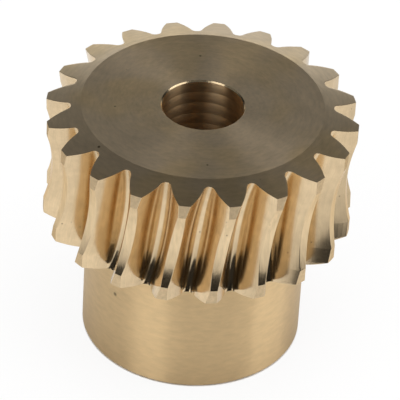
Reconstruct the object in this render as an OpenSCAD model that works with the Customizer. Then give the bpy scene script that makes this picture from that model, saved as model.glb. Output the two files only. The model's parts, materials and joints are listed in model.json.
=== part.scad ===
// Worm wheel: a throated toothed rim, a plain round hub and a through bore,
// turned and hobbed from one piece of bronze.
// Millimetres. The hub's end face lies on Z = 0, the bore axis is Z and the
// toothed rim is at the top. One tooth is centred on -Y at half the rim width.

/* [Teeth] */
// Number of teeth round the rim
tooth_count = 20; // [18:1:24]
// Axial module, the pitch diameter divided by the number of teeth
tooth_module = 2; // [1.8:0.05:2.2]
// Slope of the worm thread's flanks, in degrees
pressure_angle = 20; // [17:0.5:22]
// Number of thread starts on the worm
worm_starts = 3; // [1:1:4]
// Pitch diameter of the worm thread that shapes the gaps
worm_pitch_d = 48; // [40:1:60]
// Room left between the worm's thread crest and the gap floor
root_clearance = 0.5; // [0.3:0.05:0.7]
// Corner radius along both sides of the gap floor
root_fillet = 0.75; // [0.4:0.05:0.8]
// Extra thickness of each tooth on the pitch circle
tooth_allowance = 0.14; // [0:0.02:0.3]

/* [Rim] */
// Width of the rim between its two flat sides
rim_w = 20; // [17:0.5:23]
// How far the throat dips below the outside diameter
throat_depth = 1; // [0.7:0.1:1.3]
// Width of the throat along the axis
throat_w = 13; // [10:0.5:15]
// Slope of the bevel on both sides of the rim, in degrees
bevel_angle = 14; // [8:1:18]
// Diameter of the flat disc inside each bevel
face_d = 35.8; // [35:0.1:37.6]

/* [Hub] */
// Outside diameter of the hub
hub_d = 33; // [26:0.5:34]
// Length of the hub below the rim
hub_len = 20; // [12:0.5:30]
// Chamfer on the hub's end edge
hub_edge = 0.3; // [0.1:0.05:0.6]
// Radius in the corner between hub and rim
hub_fillet = 0.5; // [0.3:0.05:0.6]

/* [Bore] */
// Diameter of the bore
bore_d = 12; // [8:0.5:16]
// Chamfer at both ends of the bore
bore_edge = 0.2; // [0.1:0.05:0.5]

/* [Hidden] */
total_h = hub_len + rim_w;
rim_mid = hub_len + rim_w / 2;
pitch_r = tooth_count * tooth_module / 2;
throat_r = pitch_r + tooth_module;
tip_r = throat_r + throat_depth;
face_r = face_d / 2;
hub_r = hub_d / 2;
bore_r = bore_d / 2;
bevel_h = (tip_r - face_r) * tan(bevel_angle);
throat_arc_r = (pow(throat_w / 2, 2) + pow(throat_depth, 2)) / (2 * throat_depth);
tooth_step = 360 / tooth_count;

// The worm beside the wheel: its axis, its lead and its thread section
worm_r = worm_pitch_d / 2;
centre_dist = pitch_r + worm_r;
lead_per_degree = worm_starts * tooth_module / 2 * PI / 180;
crest_r = worm_r + tooth_module + root_clearance;
thread_half = (PI * tooth_module / 2 - tooth_allowance) / 2;
corner_r = crest_r - root_fillet;
corner_drop = (corner_r - worm_r) * tan(pressure_angle) + root_fillet / cos(pressure_angle);
floor_half = max(0.05, thread_half - corner_drop);
corner_join_r = corner_r + root_fillet * sin(pressure_angle);

// How finely a gap is drawn: rows from floor to tip, slices across the rim
gap_rows = 6;
gap_slices = 8;
roll_steps = 60;
roll_max = 25;
gap_out_r = tip_r + 0.5;
gap_half_w = rim_w / 2 + 0.6;

// Half the thread's thickness at radius rho from the worm axis
function half_thread(rho) =
    rho > corner_join_r
    ? floor_half + sqrt(max(0, pow(root_fillet, 2) - pow(rho - corner_r, 2)))
    : thread_half - (rho - worm_r) * tan(pressure_angle);

// Radius of the gap floor at height z from the middle of the rim
function floor_r(z) = centre_dist - sqrt(pow(crest_r, 2) - pow(z, 2));

// Widest roll angle at which the thread still reaches radius r
function roll_limit(r, z) = min(roll_max, acos(min(1, floor_r(z) / r)));

// Wheel angle the thread's flank reaches at radius r when rolled by angle u
function flank_reach(r, z, u) =
    let (y = centre_dist - r * cos(u))
    let (rho = sqrt(y * y + z * z))
    let (shift = r * sin(u) - lead_per_degree * atan2(z, y) - half_thread(min(rho, crest_r)))
    u - shift / pitch_r * 180 / PI;

// Edge of the gap at radius r: the furthest reach over the whole roll
function gap_edge(r, z) =
    let (limit = roll_limit(r, z))
    max([for (k = [-roll_steps : roll_steps]) flank_reach(r, z, limit * k / roll_steps)]);

// Rows crowd together near the floor, where the gap is most curved
function row_r(j, z) = floor_r(z) + (gap_out_r - floor_r(z)) * pow(j / gap_rows, 1.8);
function slice_z(i) = gap_half_w * (2 * i / gap_slices - 1);
function polar(r, a, z) = [r * cos(a), r * sin(a), z];

// One ring of points at each slice: down one flank, up the other. Turned half
// over, the gap is the same, so one edge is the other one seen from below.
function gap_ring(z) = concat(
    [for (j = [gap_rows : -1 : 0]) polar(row_r(j, z), -gap_edge(row_r(j, z), -z), z)],
    [for (j = [0 : gap_rows]) polar(row_r(j, z), gap_edge(row_r(j, z), z), z)]
);

ring_n = 2 * gap_rows + 2;
last_ring = gap_slices * ring_n;
gap_points = [for (i = [0 : gap_slices]) each gap_ring(slice_z(i))];

gap_sides = [
    for (i = [0 : gap_slices - 1], j = [0 : ring_n - 1])
    let (a = i * ring_n + j, b = i * ring_n + (j + 1) % ring_n)
    each [[a, b, b + ring_n], [a, b + ring_n, a + ring_n]]
];

gap_lower_end = [
    for (j = [0 : gap_rows - 1])
    let (k = ring_n - 1 - j)
    each [[k, k - 1, j + 1], [k, j + 1, j]]
];

gap_upper_end = [
    for (j = [0 : gap_rows - 1])
    let (a = last_ring + j, k = last_ring + ring_n - 1 - j)
    each [[a, a + 1, k - 1], [a, k - 1, k]]
];

// Half section of the turned blank, before the teeth are cut
module blank_section() {
    difference() {
        polygon([
            [bore_r + bore_edge, 0],
            [hub_r - hub_edge, 0],
            [hub_r, hub_edge],
            [hub_r, hub_len - hub_fillet],
            [hub_r + hub_fillet, hub_len],
            [face_r, hub_len],
            [tip_r, hub_len + bevel_h],
            [tip_r, total_h - bevel_h],
            [face_r, total_h],
            [bore_r + bore_edge, total_h],
            [bore_r, total_h - bore_edge],
            [bore_r, bore_edge]
        ]);
        translate([throat_r + throat_arc_r, rim_mid])
            circle(r = throat_arc_r, $fn = 360);
        translate([hub_r + hub_fillet, hub_len - hub_fillet])
            circle(r = hub_fillet, $fn = 48);
    }
}

// Space between two teeth, centred on +X at half the rim width
module tooth_gap() {
    polyhedron(
        points = gap_points,
        faces = concat(gap_sides, gap_lower_end, gap_upper_end),
        convexity = 4
    );
}

// The whole wheel, one piece
module worm_wheel() {
    color("#b9945a")
    difference() {
        rotate_extrude($fn = 180)
            blank_section();
        for (k = [0 : tooth_count - 1])
            translate([0, 0, rim_mid])
            rotate([0, 0, -90 + (k + 0.5) * tooth_step])
            tooth_gap();
    }
}

worm_wheel();
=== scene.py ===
# %% [markdown]
# # A worm wheel, turned and hobbed from bronze
# A worm wheel is the slow half of a worm drive. It is turned from one bar of bronze: a rim, a plain
# hub and a bore. Then a hob, a cutter with the shape of the worm, cuts the slanted teeth. The packed
# CAD model gives the true size and place. This lesson rebuilds the same form as a finer mesh, so that
# each facet left by the hob shows, and then gives each surface the finish that its tool left on it.

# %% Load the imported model
import json
import math

import bpy
import numpy as np
from mathutils import Matrix, Vector


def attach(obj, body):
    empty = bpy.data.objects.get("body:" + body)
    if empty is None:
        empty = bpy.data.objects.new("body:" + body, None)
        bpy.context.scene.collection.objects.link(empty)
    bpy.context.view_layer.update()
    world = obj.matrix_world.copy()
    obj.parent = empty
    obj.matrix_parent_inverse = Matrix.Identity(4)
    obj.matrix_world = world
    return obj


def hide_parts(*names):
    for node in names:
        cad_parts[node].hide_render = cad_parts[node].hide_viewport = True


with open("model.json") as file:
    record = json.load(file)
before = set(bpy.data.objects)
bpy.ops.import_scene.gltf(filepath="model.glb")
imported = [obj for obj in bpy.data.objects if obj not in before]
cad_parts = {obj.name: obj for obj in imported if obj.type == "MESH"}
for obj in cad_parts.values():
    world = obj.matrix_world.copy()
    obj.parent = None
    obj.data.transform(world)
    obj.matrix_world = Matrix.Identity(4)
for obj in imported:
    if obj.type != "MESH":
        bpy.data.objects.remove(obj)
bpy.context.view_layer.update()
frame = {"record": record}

# %% [markdown]
# ## Camera
# The photograph was taken from well above, with a long lens. The camera stands on a ray from the
# point it looks at, and is turned a little about that ray. Its place is worked out from those angles,
# so that a reader can change one of them and see what it does.

# %% Place the camera
MM = 0.001
LOOK_AT = Vector((0.40, 0.05, 22.45)) * MM
AZIMUTH = math.radians(7.49)
ELEVATION = math.radians(37.47)
ROLL = math.radians(3.48)
DISTANCE = 534.3 * MM
SENSOR = 36.0
LENS = 322.3

toward_camera = Vector((
    math.sin(AZIMUTH) * math.cos(ELEVATION),
    -math.cos(AZIMUTH) * math.cos(ELEVATION),
    math.sin(ELEVATION),
))
level = Vector((math.cos(AZIMUTH), math.sin(AZIMUTH), 0))
upright = toward_camera.cross(level)
across_image = level * math.cos(ROLL) + upright * math.sin(ROLL)
up_image = upright * math.cos(ROLL) - level * math.sin(ROLL)

camera_data = bpy.data.cameras.new("camera")
camera_data.sensor_width = SENSOR
camera_data.lens = LENS
camera = bpy.data.objects.new("camera", camera_data)
turn = Matrix((across_image, up_image, toward_camera)).transposed()
camera.matrix_world = Matrix.Translation(LOOK_AT + toward_camera * DISTANCE) @ turn.to_4x4()
bpy.context.scene.collection.objects.link(camera)
bpy.context.scene.camera = camera
print("camera at", [round(v, 3) for v in camera.location])

# %% [markdown]
# ## Sizes
# These are the driving sizes of the wheel and of the worm that runs with it, in millimetres. The wheel
# stands on its hub's end, with the bore along Z. Heights inside the rim are measured from the middle of
# the rim, because the teeth look the same from both sides.

# %% Driving sizes in millimetres
TEETH = 20
MODULE = 2.0
PRESSURE = math.radians(20)
WORM_STARTS = 3
WORM_R = 24.0
ROOT_CLEARANCE = 0.5
ROOT_FILLET = 0.75
ALLOWANCE = 0.14
RIM_W = 20.0
THROAT_DEPTH = 1.0
THROAT_W = 13.0
BEVEL = math.radians(14)
FACE_R = 17.9
HUB_R = 16.5
HUB_LEN = 20.0
HUB_EDGE = 0.3
HUB_FILLET = 0.5
BORE_R = frame["record"]["mounts"][0]["dims"]["r_mm"]
BORE_EDGE = 0.2
# The CAD box belongs to a faceted mesh, so the tips stay this little inside the true circle
TIP_PLAY = 0.0005

PITCH_R = TEETH * MODULE / 2
THROAT_R = PITCH_R + MODULE
TIP_R = THROAT_R + THROAT_DEPTH - TIP_PLAY
TOTAL_H = HUB_LEN + RIM_W
RIM_MID = HUB_LEN + RIM_W / 2
TOOTH_STEP = 2 * math.pi / TEETH
THROAT_ARC_R = ((THROAT_W / 2) ** 2 + THROAT_DEPTH ** 2) / (2 * THROAT_DEPTH)
print("tip diameter", 2 * TIP_R, "mm, height", TOTAL_H, "mm, bore", 2 * BORE_R, "mm")

# %% [markdown]
# ## The gap between two teeth
# A hob is a worm with cutting teeth. As it turns, each of its teeth sweeps once through the gap at its
# own place along the hob, while the wheel rolls on a little. What is left is the envelope of all those
# passes. For a point at radius r and height z, every pass gives a wheel angle that it reaches, and the
# edge of the gap is the furthest of them. A hob has few teeth, so the flank is a row of narrow flat
# facets and not a smooth curve. They catch the light as stripes along the tooth, so they are modelled.

# %% The hob's thread and the cuts that its passes make
CENTRE = PITCH_R + WORM_R
LEAD = WORM_STARTS * MODULE / 2
CREST_R = WORM_R + MODULE + ROOT_CLEARANCE
THREAD_HALF = (math.pi * MODULE / 2 - ALLOWANCE) / 2
CORNER_R = CREST_R - ROOT_FILLET
CORNER_DROP = (CORNER_R - WORM_R) * math.tan(PRESSURE) + ROOT_FILLET / math.cos(PRESSURE)
FLOOR_HALF = THREAD_HALF - CORNER_DROP
CORNER_JOIN_R = CORNER_R + ROOT_FILLET * math.sin(PRESSURE)
# Distance between two passes along the hob, and the most metal that they leave between them
HOB_STEP = 1.3
FACET_DEPTH = 0.012
# How far the wheel rolls to either side while the hob can reach a point of the gap
ROLL_MAX = math.radians(25)
ROLL_SAMPLES = np.linspace(-1, 1, 241)


def half_thread(rho):
    """Half the hob thread's thickness at radius rho from the hob's axis."""
    corner = FLOOR_HALF + np.sqrt(np.maximum(0, ROOT_FILLET ** 2 - (rho - CORNER_R) ** 2))
    straight = THREAD_HALF - (rho - WORM_R) * math.tan(PRESSURE)
    return np.where(rho > CORNER_JOIN_R, corner, straight)


def floor_r(z):
    """Radius of the gap floor at height z from the middle of the rim."""
    return CENTRE - math.sqrt(CREST_R ** 2 - z ** 2)


def hob_cuts(r, z):
    """Passes that reach radius r at height z, the angle each one cuts to, and their envelope's."""
    limit = min(ROLL_MAX, math.acos(min(1.0, floor_r(z) / r)))
    roll = limit * ROLL_SAMPLES
    depth = CENTRE - r * np.cos(roll)
    along_hob = r * np.sin(roll) - half_thread(np.minimum(np.hypot(depth, z), CREST_R))
    reach = roll - (along_hob - LEAD * np.arctan2(z, depth)) / PITCH_R
    first = math.ceil(along_hob[0] / HOB_STEP)
    last = math.floor(along_hob[-1] / HOB_STEP)
    passes = np.arange(first, last + 1)
    return passes, np.interp(passes * HOB_STEP, along_hob, reach), reach.max()


def gap_edge(r, z):
    """Wheel angle, from the gap's middle, at which the gap ends at radius r and height z."""
    _, cuts, envelope = hob_cuts(r, z)
    return max([envelope - FACET_DEPTH / r, *cuts])


print("gap at the pitch circle:", round(2 * PITCH_R * gap_edge(PITCH_R, 0.0), 3), "mm wide")

# %% [markdown]
# ## Where the rows and columns of the mesh go
# One tooth and its share of the wheel is a grid. Rows go down the outside of the rim, and columns go
# from the floor of one gap, up a flank, over the tip, and down to the floor of the next gap. Extra rows
# and columns sit close to each edge. Between them the mesh is shaded smooth, so an edge gets a narrow
# round that catches a line of light, as a deburred edge does.

# %% Rows down the rim
# Half an edge's width, and how far from it the guard row sits
EDGE = 0.008
GUARD = 0.03
CORNER_Z = RIM_W / 2 - (TIP_R - FACE_R) * math.tan(BEVEL)
THROAT_Z = THROAT_W / 2
BEVEL_ROWS = 9
THROAT_ROWS = 18
HALVINGS = 50


def outside_r(z):
    """Radius of the turned outside at height z: bevel, plain band, then the hollow throat."""
    if abs(z) > CORNER_Z:
        return TIP_R - (abs(z) - CORNER_Z) / math.tan(BEVEL)
    if abs(z) > THROAT_Z:
        return TIP_R
    return THROAT_R + THROAT_ARC_R - math.sqrt(THROAT_ARC_R ** 2 - z ** 2)


def find_gap_end():
    """Height at which the gap floor runs out through the bevel, found by halving."""
    inside, beyond = CORNER_Z, RIM_W / 2
    for _ in range(HALVINGS):
        middle = (inside + beyond) / 2
        if outside_r(middle) > floor_r(middle):
            inside = middle
        else:
            beyond = middle
    return inside


GAP_END = find_gap_end()
bevel_foot = CORNER_Z + GUARD * math.sin(BEVEL)
upper_rows = [GAP_END - (GAP_END - bevel_foot) * (i / BEVEL_ROWS) ** 2 for i in range(BEVEL_ROWS + 1)]
upper_rows += [CORNER_Z + EDGE * math.sin(BEVEL), CORNER_Z - EDGE, CORNER_Z - GUARD]
upper_rows += [(CORNER_Z + THROAT_Z) / 2, THROAT_Z + GUARD, THROAT_Z + EDGE, THROAT_Z - EDGE]
throat_rows = list(np.linspace(THROAT_Z - GUARD, GUARD - THROAT_Z, THROAT_ROWS))
rim_heights = upper_rows + throat_rows + [-z for z in reversed(upper_rows)]
print(len(rim_heights), "rows down the rim, gap ends", round(GAP_END, 2), "mm from its middle")

# %% Columns up a flank, crowded where two passes of the hob meet
FINE_STEPS = 1500
# Shares of the tooth's height: a crease's half width, the rounded root, and where creases may lie
CREASE = 0.02
ROOT_SHARES = [0.0, 0.008, 0.02, 0.038, 0.06, 0.09, 0.125]
FIRST_CREASE = ROOT_SHARES[-1] + 0.03
LAST_CREASE = 0.96


def crease_shares():
    """Shares of the tooth's height, at the middle of the rim, where one facet meets the next."""
    found = []
    last_pass = None
    for share in np.linspace(ROOT_SHARES[-1], 1, FINE_STEPS):
        passes, cuts, _ = hob_cuts(floor_r(0) + (THROAT_R - floor_r(0)) * share, 0.0)
        deepest = passes[np.argmax(cuts)]
        if last_pass not in (None, deepest):
            found.append(float(share))
        last_pass = deepest
    return found


creases = [share for share in crease_shares() if FIRST_CREASE < share < LAST_CREASE]
flank_shares = list(ROOT_SHARES)
for start, end in zip([ROOT_SHARES[-1]] + creases, creases + [1 + CREASE]):
    flank_shares += [start + CREASE, (start + end) / 2, end - CREASE]
print(len(creases), "creases up each flank at shares", [round(share, 2) for share in creases])

# %% [markdown]
# ## The rim's part of the grid
# Each row is worked out for its own height, because the worm's lead turns the gap as it goes through the
# rim. The two flanks mirror each other when the wheel is turned over, so one function makes both. Each
# point also keeps how far up the flank it is, for the finish to follow.

# %% Points of one tooth, row by row
LAND_SHARES = [0.0, 0.07, 0.25, 0.5, 0.75, 0.93, 1.0]
# Where a gap runs out and has little depth left, its edges take at most this share of it
EDGE_SHARE = 0.2


def rim_row(z):
    """Radii, angles and flank shares of one row, from gap floor to gap floor across the tooth."""
    floor = floor_r(z)
    outside = max(outside_r(z), floor)
    edge = min(EDGE, EDGE_SHARE * (outside - floor))
    radii = [floor + (outside - edge - floor) * share for share in flank_shares]
    behind = [-TOOTH_STEP / 2 + gap_edge(r, z) for r in radii]
    ahead = [TOOTH_STEP / 2 - gap_edge(r, -z) for r in radii]
    middle = (behind[0] + ahead[0]) / 2
    land_start = -TOOTH_STEP / 2 + gap_edge(outside, z) + edge / outside
    land_end = TOOTH_STEP / 2 - gap_edge(outside, -z) - edge / outside
    land = [land_start + (land_end - land_start) * share for share in LAND_SHARES]
    angles = [middle - TOOTH_STEP / 2, *behind, *land, *ahead[::-1], middle + TOOTH_STEP / 2]
    reach = [floor, *radii, *[outside] * len(land), *radii[::-1], floor]
    shares = [0.0, *flank_shares, *[1.0] * len(land), *flank_shares[::-1], 0.0]
    return reach, angles, shares


rim = [rim_row(z) for z in rim_heights]
columns = len(rim[0][0])
print(len(rim), "rows of", columns, "points for one tooth")

# %% [markdown]
# ## The turned surfaces
# The disc, the bevels, the hub and the bore come off a lathe, so they are one outline swept round the
# axis. The outline goes from the lower end of the teeth inwards, down the hub, in to the bore, up it and
# out over the disc. Each of its corners becomes a narrow edge with a guard row on either side, and each
# stretch is numbered for the finish that it gets later.

# %% The outline of the turned surfaces
FLANK, THROAT, BAND, CHAMFER, BEVELS, FACE, HUB, BORE = range(8)
FILLET_STEPS = 6
LONGEST_STEP = 2.5
# A stretch no longer than this, such as a step of the fillet, gets no guard rows of its own
SHORT_STRETCH = 0.2
lower_end = (floor_r(GAP_END), RIM_MID - GAP_END)
upper_end = (floor_r(GAP_END), RIM_MID + GAP_END)
fillet_arc = [
    (HUB_R + HUB_FILLET * (1 - math.sin(sweep)), HUB_LEN - HUB_FILLET * (1 - math.cos(sweep)))
    for sweep in np.linspace(0, math.pi / 2, FILLET_STEPS)
]
outline = [(lower_end, BEVELS), ((FACE_R, HUB_LEN), FACE)]
outline += [(point, HUB) for point in fillet_arc]
outline += [((HUB_R, HUB_EDGE), HUB), ((HUB_R - HUB_EDGE, 0.0), FACE), ((BORE_R + BORE_EDGE, 0.0), CHAMFER)]
outline += [((BORE_R, BORE_EDGE), BORE), ((BORE_R, TOTAL_H - BORE_EDGE), CHAMFER)]
outline += [((BORE_R + BORE_EDGE, TOTAL_H), FACE), ((FACE_R, TOTAL_H), BEVELS), (upper_end, BEVELS)]


def outline_rows():
    """Rows of (radius, height, finish after the row) along the outline."""
    rows = []
    for (start, finish), (end, _) in zip(outline, outline[1:]):
        start, end = Vector(start), Vector(end)
        length = (end - start).length
        marks = [0.0, length]
        if length > SHORT_STRETCH:
            even = np.linspace(0, length, math.ceil(length / LONGEST_STEP) + 1)[1:-1]
            marks = [EDGE, GUARD, *even, length - GUARD, length - EDGE]
        for mark in marks:
            point = start.lerp(end, mark / length)
            rows.append((point.x, point.y, finish))
    return rows


turned = outline_rows()
print(len(turned), "rows round the turned surfaces")

# %% [markdown]
# ## One tooth as a mesh
# All rows together make a closed band: down the rim, round the turned surfaces and back to the top. The
# gaps end at another angle on top than below, and the flat disc takes up that turn without bending. On the
# turned surfaces the columns of the flanks fall together, so points that meet are welded and faces that
# shrink to nothing are dropped. Each face keeps the number of its finish.

# %% Points of the tooth's wedge
FRONT = -math.pi / 2
disc_start = BORE_R + BORE_EDGE


def wedge_grid():
    """Points, flank shares and row finishes of the wedge, as a grid that closes on itself."""
    grid, shares, finishes = [], [], []
    for z, next_z, (radii, angles, row_shares) in zip(rim_heights, rim_heights[1:] + [-GAP_END], rim):
        grid.append([(r, a, RIM_MID + z) for r, a in zip(radii, angles)])
        shares.append(row_shares)
        middle = abs(z + next_z) / 2
        finishes.append(THROAT if middle < THROAT_Z else BAND if middle < CORNER_Z else BEVELS)
    below, above = np.array(rim[-1][1]), np.array(rim[0][1])
    for r, height, finish in turned:
        on_top = height > TOTAL_H - BORE_EDGE / 2
        turn_share = min(1.0, max(0.0, (r - disc_start) / (FACE_R - disc_start))) if on_top else 0.0
        angles = below + (above - below) * turn_share
        grid.append([(r, a, height) for a in angles])
        shares.append([1.0] * columns)
        finishes.append(finish)
    return np.array(grid), np.array(shares), finishes


grid, grid_shares, row_finishes = wedge_grid()
points = np.stack([
    grid[..., 0] * np.cos(FRONT + grid[..., 1]),
    grid[..., 0] * np.sin(FRONT + grid[..., 1]),
    grid[..., 2],
], axis=-1).reshape(-1, 3)
print(len(points), "points before welding")

# %% Faces of the wedge, each with the number of its finish
WELD_DIGITS = 5
row_count = len(grid)
first_land = 1 + len(flank_shares)
last_land = first_land + len(LAND_SHARES) - 1

_, keep, weld = np.unique(np.round(points, WELD_DIGITS), axis=0, return_index=True, return_inverse=True)
weld = weld.ravel()
faces, face_finishes = [], []
for row in range(row_count):
    below_row = (row + 1) % row_count
    for column in range(columns - 1):
        corners = [(row, column), (below_row, column), (below_row, column + 1), (row, column + 1)]
        ring = [int(weld[r * columns + c]) for r, c in corners]
        ring = [v for i, v in enumerate(ring) if v != ring[i - 1]]
        if len(ring) < 3:
            continue
        on_flank = row < len(rim) - 1 and not first_land <= column < last_land
        faces.append(ring)
        face_finishes.append(FLANK if on_flank else row_finishes[row])

tooth_mesh = bpy.data.meshes.new("one_tooth")
tooth_mesh.from_pydata((points[keep] * MM).tolist(), [], faces)
up_flank = tooth_mesh.attributes.new("up_flank", "FLOAT", "POINT")
up_flank.data.foreach_set("value", grid_shares.ravel()[keep])
finish_number = tooth_mesh.attributes.new("finish", "INT", "FACE")
finish_number.data.foreach_set("value", face_finishes)
tooth = bpy.data.objects.new("worm_wheel_visual", tooth_mesh)
bpy.context.scene.collection.objects.link(tooth)
print("one tooth:", len(tooth_mesh.vertices), "points,", len(faces), "faces")

# %% [markdown]
# ## Helpers for node trees
# Both the finishes and the tree that repeats the tooth are built from nodes. One small function adds a
# node, sets its own settings, and fills or links its inputs. A second one turns a hex colour, as a colour
# picker gives it, into the linear values that a shader needs. A third one starts a material.

# %% Three helpers
def add_node(tree, kind, inputs=None, **settings):
    """Adds one node to a tree. An input is a value, or another node's socket to link."""
    node = tree.nodes.new(kind)
    for name, value in settings.items():
        setattr(node, name, value)
    for name, value in (inputs or {}).items():
        if isinstance(value, bpy.types.NodeSocket):
            tree.links.new(value, node.inputs[name])
        else:
            node.inputs[name].default_value = value
    return node


def srgb(code):
    """An sRGB hex colour as linear RGBA."""
    channels = [int(code[i:i + 2], 16) / 255 for i in (1, 3, 5)]
    linear = [c / 12.92 if c <= 0.04045 else ((c + 0.055) / 1.055) ** 2.4 for c in channels]
    return (*linear, 1.0)


def new_finish(name):
    """An empty material and its node tree."""
    material = bpy.data.materials.new(name)
    material.use_nodes = True
    material.node_tree.nodes.clear()
    return material, material.node_tree


BRONZE = srgb("#D8C09B")
print("bronze reflects", [round(v, 2) for v in BRONZE[:3]])

# %% [markdown]
# ## Marks, mottle and pits
# No bronze is of one even tone. A tool leaves marks round the axis, and the grain, a film of oil and the
# touch of hands make the metal a little darker here and yellower there. Cast bronze also has small pores,
# and turning opens some of them. Marks and mottle are noise that scales the colour by a few hundredths.
# Patches are noise that mixes two tones. The pits come from a cell pattern, in which only some cells get a
# dark dot, and the dot is small beside its cell.

# %% Marks round the axis
def add_outward(tree, place):
    """The level vector from the axis to a point."""
    flat = add_node(
        tree, "ShaderNodeVectorMath", {0: place.outputs["Object"], 1: (1, 1, 0)}, operation="MULTIPLY"
    )
    return flat.outputs["Vector"]


def add_turning_marks(tree, place, across, sweep, width):
    """Coordinates for marks round the axis, each a sweep in radians long and so wide across."""
    way = add_node(tree, "ShaderNodeVectorMath", {0: add_outward(tree, place)}, operation="NORMALIZE")
    around = add_node(
        tree, "ShaderNodeVectorMath", {0: way.outputs["Vector"], "Scale": 1 / sweep}, operation="SCALE"
    )
    steps = add_node(tree, "ShaderNodeMath", {0: across, 1: width}, operation="DIVIDE")
    beside = add_node(tree, "ShaderNodeCombineXYZ", {"Z": steps.outputs["Value"]})
    both = add_node(
        tree, "ShaderNodeVectorMath", {0: around.outputs["Vector"], 1: beside.outputs["Vector"]},
        operation="ADD",
    )
    return both.outputs["Vector"]


# %% Mottle and patches
# Noise seldom leaves its middle range, so only that range is stretched over the tones
NOISE_LOW = 0.3
NOISE_HIGH = 0.7
PATCH_LOW = 0.4
PATCH_HIGH = 0.65


def add_mottle(tree, where, grain, colour, depth):
    """The colour, made darker and lighter from place to place by up to the given share."""
    noise = add_node(
        tree, "ShaderNodeTexNoise", {"Vector": where, "Scale": 1 / grain, "Detail": 4.0, "Roughness": 0.6}
    )
    gain = add_node(tree, "ShaderNodeMapRange", {
        "Value": noise.outputs["Fac"], "From Min": NOISE_LOW, "From Max": NOISE_HIGH,
        "To Min": 1 - depth, "To Max": 1 + depth,
    })
    tint = add_node(
        tree, "ShaderNodeVectorMath", {0: colour, "Scale": gain.outputs["Result"]}, operation="SCALE"
    )
    return tint.outputs["Vector"]


def add_patches(tree, where, grain, colour, other):
    """Soft patches of two colours, about as wide as the given grain."""
    noise = add_node(tree, "ShaderNodeTexNoise", {"Vector": where, "Scale": 1 / grain, "Detail": 1.0})
    share = add_node(tree, "ShaderNodeMapRange", {
        "Value": noise.outputs["Fac"], "From Min": PATCH_LOW, "From Max": PATCH_HIGH,
    }, interpolation_type="SMOOTHSTEP")
    tint = add_node(
        tree, "ShaderNodeMix", {"Factor": share.outputs["Result"], 6: colour, 7: other}, data_type="RGBA"
    )
    return tint.outputs[2]


# %% Pits
PIT_COLOUR = srgb("#6B5B42")
# Shares of a cell's size: the pit's dark core, and where its rim ends
PIT_CORE = 0.05
PIT_RIM = 0.1


def add_pits(tree, place, colour, apart, share):
    """The colour with dark pits, one in the given share of the cells."""
    cells = add_node(tree, "ShaderNodeTexVoronoi", {"Vector": place.outputs["Object"], "Scale": 1 / apart})
    dot = add_node(tree, "ShaderNodeMapRange", {
        "Value": cells.outputs["Distance"], "From Min": PIT_CORE, "From Max": PIT_RIM,
        "To Min": 1.0, "To Max": 0.0,
    })
    chance = add_node(tree, "ShaderNodeSeparateColor", {"Color": cells.outputs["Color"]})
    picked = add_node(
        tree, "ShaderNodeMath", {0: chance.outputs["Red"], 1: share}, operation="LESS_THAN"
    )
    pits = add_node(
        tree, "ShaderNodeMath", {0: dot.outputs["Result"], 1: picked.outputs["Value"]}, operation="MULTIPLY"
    )
    tint = add_node(
        tree, "ShaderNodeMix", {"Factor": pits.outputs["Value"], 6: colour, 7: PIT_COLOUR}, data_type="RGBA"
    )
    return tint.outputs[2]


print("pits reflect", [round(v, 2) for v in PIT_COLOUR[:3]])

# %% [markdown]
# ## Turned face
# The disc and its bevels were faced on a lathe. The tool leaves a fine spiral, so the metal is satin and
# its highlights run outwards from the bore as faint fans. The shader's anisotropy gives that sheen, and
# real grooves would need far too many faces. The disc spreads its fans wider than the bevels do, so the
# two get one recipe with two sets of numbers. An old film of oil leaves yellower patches on both.

# %% Faced bronze
# A real feed is about 0.1 mm a turn, which is finer than a pixel, so the rings are drawn coarser
FEED = 0.35 * MM
SHEEN_SWING = 0.015
# The tangent runs round the axis, and a quarter turn sets the blur across the tool's marks
ACROSS_MARKS = 0.25
DULL_BRONZE = srgb("#D8C0A0")
OILY_BRONZE = srgb("#DDC197")
faced_finishes = {}
for name, roughness, stretch in (("faced_bronze_bevels", 0.295, 0.65), ("faced_bronze_disc", 0.4, 0.85)):
    material, tree = new_finish(name)
    place = add_node(tree, "ShaderNodeTexCoord")
    radius = add_node(tree, "ShaderNodeVectorMath", {0: add_outward(tree, place)}, operation="LENGTH")
    rings = add_node(
        tree, "ShaderNodeTexNoise",
        {"W": radius.outputs["Value"], "Scale": 1 / FEED, "Detail": 2.0},
        noise_dimensions="1D",
    )
    sheen = add_node(tree, "ShaderNodeMapRange", {
        "Value": rings.outputs["Fac"], "From Min": NOISE_LOW, "From Max": NOISE_HIGH,
        "To Min": roughness - SHEEN_SWING, "To Max": roughness + SHEEN_SWING,
    })
    tangent = add_node(tree, "ShaderNodeTangent", direction_type="RADIAL", axis="Z")
    marks = add_turning_marks(tree, place, radius.outputs["Value"], sweep=0.1, width=0.5 * MM)
    film = add_patches(
        tree, place.outputs["Object"], grain=9.0 * MM, colour=DULL_BRONZE, other=OILY_BRONZE
    )
    cloud = add_mottle(tree, place.outputs["Object"], grain=3.0 * MM, colour=film, depth=0.07)
    mottle = add_mottle(tree, marks, grain=1.0, colour=cloud, depth=0.09)
    # To the eye: dull and even until light falls on it, and then a pale fan from the bore outwards
    shader = add_node(tree, "ShaderNodeBsdfPrincipled", {
        "Base Color": add_pits(tree, place, mottle, apart=2.6 * MM, share=0.22), "Metallic": 1.0,
        "Roughness": sheen.outputs["Result"], "Anisotropic": stretch, "Anisotropic Rotation": ACROSS_MARKS,
        "Tangent": tangent.outputs["Tangent"],
    })
    add_node(tree, "ShaderNodeOutputMaterial", {"Surface": shader.outputs["BSDF"]})
    faced_finishes[name] = material
    print("made", name)

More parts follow.
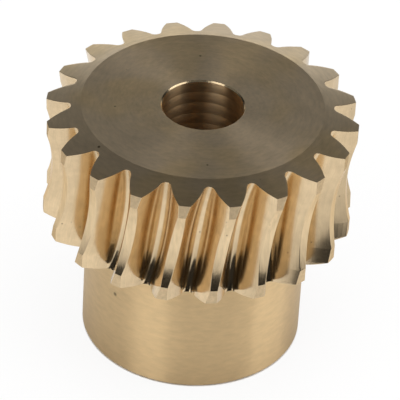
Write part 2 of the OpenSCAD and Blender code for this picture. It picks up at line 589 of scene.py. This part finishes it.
# %% [markdown]
# ## Hobbed flanks
# The hob's edges slide along the tooth and leave the flanks almost bright, with fine scores along the
# tooth. The scores blur a reflection across the tooth and keep it sharp along it. A tangent round the axis
# would point straight out of a flank, so the blur gets its direction from the cross product of the normal
# and the axis instead. The scores follow the flank, so their pattern reads how far up it a point is.

# %% Hobbed bronze
# A score is this share of the flank's height wide, several times coarser than a real one, so that it shows
SCORE = 0.05
SCORE_LENGTH = 5.0 * MM
hobbed, tree = new_finish("hobbed_bronze")
place = add_node(tree, "ShaderNodeTexCoord")
height = add_node(tree, "ShaderNodeSeparateXYZ", {"Vector": place.outputs["Object"]})
along = add_node(
    tree, "ShaderNodeMath", {0: height.outputs["Z"], 1: SCORE / SCORE_LENGTH}, operation="MULTIPLY"
)
flank_share = add_node(tree, "ShaderNodeAttribute", attribute_name="up_flank")
stretched = add_node(
    tree, "ShaderNodeCombineXYZ", {"X": flank_share.outputs["Fac"], "Y": along.outputs["Value"]}
)
scores = add_node(
    tree, "ShaderNodeTexNoise",
    {"Vector": stretched.outputs["Vector"], "Scale": 1 / SCORE, "Detail": 3.0},
)
relief = add_node(
    tree, "ShaderNodeBump", {"Height": scores.outputs["Fac"], "Strength": 0.1, "Distance": 0.03 * MM}
)
cloud = add_mottle(tree, place.outputs["Object"], grain=1.6 * MM, colour=BRONZE[:3], depth=0.08)
streaks = add_mottle(tree, stretched.outputs["Vector"], grain=SCORE, colour=cloud, depth=0.06)
surface = add_node(tree, "ShaderNodeNewGeometry")
across_tooth = add_node(
    tree, "ShaderNodeVectorMath", {0: surface.outputs["Normal"], 1: (0, 0, 1)}, operation="CROSS_PRODUCT"
)
# To the eye: gold that mirrors the next flank, with its reflections drawn out in streaks
shader = add_node(tree, "ShaderNodeBsdfPrincipled", {
    "Base Color": add_pits(tree, place, streaks, apart=1.4 * MM, share=0.2), "Metallic": 1.0,
    "Roughness": 0.14, "Anisotropic": 0.95,
    "Normal": relief.outputs["Normal"], "Tangent": across_tooth.outputs["Vector"],
})
add_node(tree, "ShaderNodeOutputMaterial", {"Surface": shader.outputs["BSDF"]})
print("made", hobbed.name)

# %% [markdown]
# ## Throat, bands and chamfers
# The hob also finishes the hollow throat, so it is nearly as bright as the flanks, with marks along the
# tooth. The plain bands above and below it were only turned. They are matt and look greyer. The chamfers at
# the ends of the bore were scraped, and glint. All three share one recipe. Bare metal turns white where it
# is seen at a grazing angle, and a tint there keeps the outermost teeth from looking too pale.

# %% Hobbed throat, turned bands and scraped chamfers
# Real grain is a few hundredths of a millimetre, so it is drawn coarser to show
GRAIN = 0.25 * MM
GRAZING_BRONZE = srgb("#ECDCC4")
tip_finishes = {}
for name, roughness, squash, marks_turn in (
    ("hobbed_bronze_throat", 0.18, 0.15, 0.0),
    ("turned_bronze_bands", 0.42, 1.0, ACROSS_MARKS),
    ("scraped_bronze_chamfers", 0.16, 1.0, ACROSS_MARKS),
):
    material, tree = new_finish(name)
    place = add_node(tree, "ShaderNodeTexCoord")
    squashed = add_node(
        tree, "ShaderNodeVectorMath", {0: place.outputs["Object"], 1: (1, 1, squash)}, operation="MULTIPLY"
    )
    grain = add_node(
        tree, "ShaderNodeTexNoise",
        {"Vector": squashed.outputs["Vector"], "Scale": 1 / GRAIN, "Detail": 3.0},
    )
    relief = add_node(
        tree, "ShaderNodeBump", {"Height": grain.outputs["Fac"], "Strength": 0.3, "Distance": 0.04 * MM}
    )
    tangent = add_node(tree, "ShaderNodeTangent", direction_type="RADIAL", axis="Z")
    mottle = add_mottle(tree, squashed.outputs["Vector"], grain=0.5 * MM, colour=BRONZE[:3], depth=0.12)
    # To the eye: speckled and pale where it is hobbed or scraped, and a soft grey gold where it is turned
    shader = add_node(tree, "ShaderNodeBsdfPrincipled", {
        "Base Color": add_pits(tree, place, mottle, apart=1.4 * MM, share=0.35), "Metallic": 1.0,
        "Roughness": roughness, "Anisotropic": 0.5, "Anisotropic Rotation": marks_turn,
        "Specular Tint": GRAZING_BRONZE,
        "Normal": relief.outputs["Normal"], "Tangent": tangent.outputs["Tangent"],
    })
    add_node(tree, "ShaderNodeOutputMaterial", {"Surface": shader.outputs["BSDF"]})
    tip_finishes[name] = material
    print("made", name)

# %% [markdown]
# ## Hub
# The hub was turned along its length, so its marks are rings round it. They spread a reflection up and
# down, and so a lamp shows as an upright band. The hub's bronze is a little deeper in colour than the rest,
# and it is also painted lighter, which is painted light that brightens the whole hub. Its rings have the
# disc's feed, and are drawn as coarse as those.

# %% Turned hub
# Painted light: the hub's bronze is lighter than the rest of the wheel, so that the hub looks brighter
HUB_BRONZE_PAINTED_LIGHTER = srgb("#E5C798")
hub_finish, tree = new_finish("turned_bronze_hub")
place = add_node(tree, "ShaderNodeTexCoord")
height = add_node(tree, "ShaderNodeSeparateXYZ", {"Vector": place.outputs["Object"]})
rings = add_node(
    tree, "ShaderNodeTexNoise",
    {"W": height.outputs["Z"], "Scale": 1 / FEED, "Detail": 2.0},
    noise_dimensions="1D",
)
relief = add_node(
    tree, "ShaderNodeBump", {"Height": rings.outputs["Fac"], "Strength": 0.15, "Distance": 0.02 * MM}
)
tangent = add_node(tree, "ShaderNodeTangent", direction_type="RADIAL", axis="Z")
marks = add_turning_marks(tree, place, height.outputs["Z"], sweep=0.12, width=0.7 * MM)
mottle = add_mottle(tree, marks, grain=1.0, colour=HUB_BRONZE_PAINTED_LIGHTER[:3], depth=0.06)
# To the eye: a satin cylinder with soft upright bands of light and a few dark pores
shader = add_node(tree, "ShaderNodeBsdfPrincipled", {
    "Base Color": add_pits(tree, place, mottle, apart=5.0 * MM, share=0.2), "Metallic": 1.0,
    "Roughness": 0.36, "Anisotropic": 0.95, "Anisotropic Rotation": ACROSS_MARKS,
    "Normal": relief.outputs["Normal"], "Tangent": tangent.outputs["Tangent"],
})
add_node(tree, "ShaderNodeOutputMaterial", {"Surface": shader.outputs["BSDF"]})
print("made", hub_finish.name)

# %% [markdown]
# ## Bore
# The bore was drilled and then bored, and the tool left rings in it about 2 mm apart. Like the hub's, they
# spread reflections up and down, so the wall takes a little light from the bore's mouth. A saw wave makes
# the rings, and squaring it about its middle turns each tooth of the saw into a round hollow.

# %% Bored bronze
RING = 1.9 * MM
# The wave pattern runs through 20 radians for each unit of its scaled coordinate
WAVE_RADIANS = 20
BORE_BRONZE = srgb("#E0C298")
bored, tree = new_finish("bored_bronze")
place = add_node(tree, "ShaderNodeTexCoord")
rings = add_node(
    tree, "ShaderNodeTexWave",
    {
        "Vector": place.outputs["Object"], "Scale": math.tau / WAVE_RADIANS / RING,
        "Distortion": 0.6, "Detail": 3.0,
    },
    bands_direction="Z", wave_profile="SAW",
)
from_middle = add_node(tree, "ShaderNodeMath", {0: rings.outputs["Fac"], 1: 0.5}, operation="SUBTRACT")
bead = add_node(tree, "ShaderNodeMath", {0: from_middle.outputs["Value"], 1: 2.0}, operation="POWER")
relief = add_node(
    tree, "ShaderNodeBump", {"Height": bead.outputs["Value"], "Strength": 1.0, "Distance": 0.3 * MM},
    invert=True,
)
tangent = add_node(tree, "ShaderNodeTangent", direction_type="RADIAL", axis="Z")
height = add_node(tree, "ShaderNodeSeparateXYZ", {"Vector": place.outputs["Object"]})
marks = add_turning_marks(tree, place, height.outputs["Z"], sweep=0.5, width=0.6 * MM)
# To the eye: a brown hollow, with a pale crescent on each ring where light from the mouth gets in
shader = add_node(tree, "ShaderNodeBsdfPrincipled", {
    "Base Color": add_mottle(tree, marks, grain=1.0, colour=BORE_BRONZE[:3], depth=0.15), "Metallic": 1.0,
    "Roughness": 0.36, "Anisotropic": 0.9, "Anisotropic Rotation": ACROSS_MARKS,
    "Normal": relief.outputs["Normal"], "Tangent": tangent.outputs["Tangent"],
})
add_node(tree, "ShaderNodeOutputMaterial", {"Surface": shader.outputs["BSDF"]})
print("made", bored.name)

# %% [markdown]
# ## The wheel from one tooth
# Every tooth is the same, so a Geometry Nodes tree sets copies of the wedge round the axis, joins them
# where they meet and gives each face the finish that it was numbered for. The number of teeth is an input
# of the tree. The result is turned into a plain mesh, because an export keeps no instances.

# %% A tree that repeats the tooth
WELD = 0.002 * MM
ring_tree = bpy.data.node_groups.new("teeth_round_the_axis", "GeometryNodeTree")
sockets = {}
for name, kind in (("Tooth", "Geometry"), ("Tooth Count", "Int"), ("Weld Distance", "Float")):
    sockets[name] = ring_tree.interface.new_socket(name, in_out="INPUT", socket_type="NodeSocket" + kind)
ring_tree.interface.new_socket("Wheel", in_out="OUTPUT", socket_type="NodeSocketGeometry")

given = add_node(ring_tree, "NodeGroupInput")
count = given.outputs["Tooth Count"]
places = add_node(ring_tree, "GeometryNodePoints", {"Count": count})
number = add_node(ring_tree, "GeometryNodeInputIndex")
step = add_node(ring_tree, "ShaderNodeMath", {0: math.tau, 1: count}, operation="DIVIDE")
angle = add_node(
    ring_tree, "ShaderNodeMath", {0: number.outputs["Index"], 1: step.outputs["Value"]},
    operation="MULTIPLY",
)
about_axis = add_node(ring_tree, "ShaderNodeCombineXYZ", {"Z": angle.outputs["Value"]})
copies = add_node(ring_tree, "GeometryNodeInstanceOnPoints", {
    "Points": places.outputs[0], "Instance": given.outputs["Tooth"], "Rotation": about_axis.outputs["Vector"],
})
real = add_node(ring_tree, "GeometryNodeRealizeInstances", {"Geometry": copies.outputs["Instances"]})
joined = add_node(ring_tree, "GeometryNodeMergeByDistance", {
    "Geometry": real.outputs["Geometry"], "Distance": given.outputs["Weld Distance"],
})
shape = add_node(ring_tree, "GeometryNodeSetShadeSmooth", {"Geometry": joined.outputs["Geometry"]})
finish_read = add_node(ring_tree, "GeometryNodeInputNamedAttribute", {"Name": "finish"}, data_type="INT")
finish_order = [hobbed, *tip_finishes.values(), *faced_finishes.values(), hub_finish, bored]
for finish, material in enumerate(finish_order):
    chosen = add_node(
        ring_tree, "FunctionNodeCompare", {2: finish_read.outputs["Attribute"], 3: finish},
        data_type="INT", operation="EQUAL",
    )
    shape = add_node(ring_tree, "GeometryNodeSetMaterial", {
        "Geometry": shape.outputs["Geometry"], "Selection": chosen.outputs["Result"], "Material": material,
    })
add_node(ring_tree, "NodeGroupOutput", {"Wheel": shape.outputs["Geometry"]})
print("tree of", len(ring_tree.nodes), "nodes")

# %% The wheel as a plain mesh
repeat = tooth.modifiers.new("teeth", "NODES")
repeat.node_group = ring_tree
repeat[sockets["Tooth Count"].identifier] = TEETH
repeat[sockets["Weld Distance"].identifier] = WELD
depsgraph = bpy.context.evaluated_depsgraph_get()
wheel_mesh = bpy.data.meshes.new_from_object(tooth.evaluated_get(depsgraph))
tooth.modifiers.remove(repeat)
wheel = tooth
wheel.data = wheel_mesh
wheel_mesh.name = "worm_wheel_visual"
wheel_mesh.calc_loop_triangles()
print("wheel:", len(wheel_mesh.vertices), "points,", len(wheel_mesh.loop_triangles), "triangles")

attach(wheel, "root")
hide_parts("worm_wheel")

# %% [markdown]
# ## Floor
# The wheel stands on a white sheet. Bright metal shows little but its surroundings, so the sheet matters
# more than its own look: the lands and hub are bright where they mirror it, and the lower ends of the gaps
# are black where they look past its front edge. That edge is outside the picture, so only reflections get
# to see it. The sheet mixes shading, which keeps the shadow, with a plain glow: most of its white is glow
# where it is seen straight on, and less than half where it is mirrored. Mirrored, it also carries painted
# shade: it is a little darker right beside the hub and far away from it.

# %% The floor as a mesh
def direction(turn_deg, rise_deg):
    """Unit vector, turned to the right of the camera's side and raised above the floor."""
    turn, rise = AZIMUTH + math.radians(turn_deg), math.radians(rise_deg)
    return Vector((math.sin(turn) * math.cos(rise), -math.cos(turn) * math.cos(rise), math.sin(rise)))


FLOOR_SIZE = 6.0
# The floor lies a hair below the hub's end, so that the two faces don't fight for the same pixels
FLOOR_DROP = 0.02 * MM
half = FLOOR_SIZE / 2
floor_mesh = bpy.data.meshes.new("floor")
floor_mesh.from_pydata(
    [(-half, -half, 0), (half, -half, 0), (half, half, 0), (-half, half, 0)], [], [(0, 1, 2, 3)]
)
floor = bpy.data.objects.new("floor", floor_mesh)
floor.location.z = -FLOOR_DROP
bpy.context.scene.collection.objects.link(floor)
print("floor of", FLOOR_SIZE, "m")

# %% White sheet
# The sheet is round, in metres, and its middle lies behind the wheel
SHEET_R = 0.17
SHEET_SHIFT = 0.07
SHEET_MIDDLE = direction(180, 0) * SHEET_SHIFT
# Its edge fades from this far inside its radius to this far outside, down to this share of its tone
EDGE_FADE = (5 * MM, 1 * MM)
BEYOND_SHEET = 0.05
# Shares of its white that are glow, where the camera sees it and where metal mirrors it
GLOW_SEEN = 0.88
GLOW_MIRRORED = 0.4
# Painted shade on the mirrored sheet: greys at shares of this span from the axis outwards, darker beside the
# hub and far out
SHEET_SPAN = 0.12
SHEET_PAINTED_SHADE = [(0.14, 0.73), (0.3, 0.95), (0.46, 1.0), (0.9, 0.6)]


def add_grey_ramp(tree, along, stops, red=1.0):
    """A ramp of greys at the given places, with their red scaled to cool or warm them."""
    ramp = add_node(tree, "ShaderNodeValToRGB", {"Fac": along})
    elements = ramp.color_ramp.elements
    while len(elements) < len(stops):
        elements.new(0.5)
    for element, (at, grey) in zip(elements, stops):
        element.position = at
        element.color = (red * grey, grey, grey, 1)
    return ramp.outputs["Color"]


paper, tree = new_finish("white_sheet")
place = add_node(tree, "ShaderNodeTexCoord")
ray = add_node(tree, "ShaderNodeLightPath")
out = add_node(
    tree, "ShaderNodeVectorMath", {0: place.outputs["Object"], 1: SHEET_MIDDLE}, operation="DISTANCE"
)
edge = add_node(tree, "ShaderNodeMapRange", {
    "Value": out.outputs["Value"], "From Min": SHEET_R - EDGE_FADE[0], "From Max": SHEET_R + EDGE_FADE[1],
    "To Min": 1.0, "To Max": BEYOND_SHEET,
})
from_axis = add_node(tree, "ShaderNodeVectorMath", {0: place.outputs["Object"]}, operation="LENGTH")
far = add_node(tree, "ShaderNodeMath", {0: from_axis.outputs["Value"], 1: SHEET_SPAN}, operation="DIVIDE")
# Painted shade that only reflections see: the sheet is darker right beside the hub and far away from it
fade = add_grey_ramp(tree, far.outputs["Value"], SHEET_PAINTED_SHADE)
dimmed = add_node(
    tree, "ShaderNodeVectorMath", {0: fade, "Scale": edge.outputs["Result"]}, operation="SCALE"
)
tone = add_node(tree, "ShaderNodeMix", {
    "Factor": ray.outputs["Is Glossy Ray"], 6: (1, 1, 1, 1), 7: dimmed.outputs["Vector"],
}, data_type="RGBA")
sheet = add_node(tree, "ShaderNodeBsdfDiffuse", {"Color": tone.outputs[2]})
glow = add_node(tree, "ShaderNodeEmission", {"Color": tone.outputs[2], "Strength": 1.0})
mirrored = add_node(
    tree, "ShaderNodeMath", {0: ray.outputs["Is Glossy Ray"], 1: ray.outputs["Is Transmission Ray"]},
    operation="MAXIMUM",
)
mirrored_glow = add_node(
    tree, "ShaderNodeMath", {0: mirrored.outputs["Value"], 1: GLOW_MIRRORED}, operation="MULTIPLY"
)
open_glow = add_node(
    tree, "ShaderNodeMath",
    {0: ray.outputs["Is Camera Ray"], 1: GLOW_SEEN, 2: mirrored_glow.outputs["Value"]},
    operation="MULTIPLY_ADD",
)
# Under the hub there is no glow, so the bore looks down on a dark floor
beside_hub = add_node(
    tree, "ShaderNodeMath", {0: from_axis.outputs["Value"], 1: HUB_R * MM}, operation="GREATER_THAN"
)
glow_share = add_node(
    tree, "ShaderNodeMath", {0: open_glow.outputs["Value"], 1: beside_hub.outputs["Value"]},
    operation="MULTIPLY",
)
both = add_node(tree, "ShaderNodeMixShader", {
    "Fac": glow_share.outputs["Value"], 1: sheet.outputs["BSDF"], 2: glow.outputs["Emission"],
})
add_node(tree, "ShaderNodeOutputMaterial", {"Surface": both.outputs["Shader"]})
floor_mesh.materials.append(paper)
print("sheet ends", round((SHEET_R - SHEET_MIDDLE.length) / MM), "mm in front of the wheel's axis")

# %% [markdown]
# ## Light
# Two soft lamps stand low at the sides, one in front on the left and one to the right. They are tall and
# weak, and each gives one of the upright bands on the hub. A third one hangs overhead and mostly lights the
# sheet: no reflection shows it, because it would turn the dark disc bright. The room is dim, with a pale
# wall low down behind the wheel, which the bevels at the back mirror.

# %% Lamps
def add_lamp(name, turn_deg, rise_deg, far, size, power):
    """A wide soft lamp that faces the wheel."""
    data = bpy.data.lights.new(name, "AREA")
    data.shape = "RECTANGLE"
    data.size, data.size_y = size
    data.energy = power
    lamp = bpy.data.objects.new(name, data)
    way = direction(turn_deg, rise_deg)
    lamp.location = way * far + LOOK_AT
    lamp.rotation_mode = "QUATERNION"
    lamp.rotation_quaternion = (-way).to_track_quat("-Z", "Y")
    bpy.context.scene.collection.objects.link(lamp)
    return lamp


lamps = [
    add_lamp("left_softbox", turn_deg=-38, rise_deg=28, far=1.0, size=(0.62, 1.0), power=3.1),
    add_lamp("right_softbox", turn_deg=82, rise_deg=26, far=1.0, size=(0.75, 1.0), power=3.6),
    add_lamp("overhead", turn_deg=0, rise_deg=90, far=1.2, size=(1.5, 1.5), power=15.7),
]
lamps[-1].visible_glossy = False
print("lamps:", [lamp.name for lamp in lamps])

# %% Room
# Greys over the sine of the height angle, from the horizon up
BACK_WALL = [(0.0, 1.6), (0.16, 1.45), (0.28, 0.55), (0.42, 0.28), (0.62, 0.2), (0.92, 0.12)]
FRONT_WALL = [(0.0, 0.02), (0.35, 0.03), (0.55, 0.2), (0.75, 0.15), (0.95, 0.1)]
WALL_RED = 0.96
# Cosine of the angle from straight behind at which the back wall has faded out
BACK_WALL_END = 0.65

world = bpy.data.worlds.new("room")
bpy.context.scene.world = world
world.use_nodes = True
tree = world.node_tree
tree.nodes.clear()
look = add_node(tree, "ShaderNodeTexCoord")
parts = add_node(tree, "ShaderNodeSeparateXYZ", {"Vector": look.outputs["Generated"]})
to_back = add_node(tree, "ShaderNodeVectorMath", {
    0: look.outputs["Generated"], 1: tuple(-direction(0, 0)),
}, operation="DOT_PRODUCT")
behind = add_node(tree, "ShaderNodeMapRange", {
    "Value": to_back.outputs["Value"], "From Min": BACK_WALL_END, "From Max": 1.0,
}, interpolation_type="SMOOTHSTEP")
back_wall = add_grey_ramp(tree, parts.outputs["Z"], BACK_WALL, red=WALL_RED)
front_wall = add_grey_ramp(tree, parts.outputs["Z"], FRONT_WALL, red=WALL_RED)
room = add_node(tree, "ShaderNodeMix", {
    "Factor": behind.outputs["Result"], 6: front_wall, 7: back_wall,
}, data_type="RGBA")
air = add_node(tree, "ShaderNodeBackground", {"Color": room.outputs[2]})
add_node(tree, "ShaderNodeOutputWorld", {"Surface": air.outputs["Background"]})
bpy.context.scene.view_settings.view_transform = "Standard"
print("room:", len(tree.nodes), "nodes")
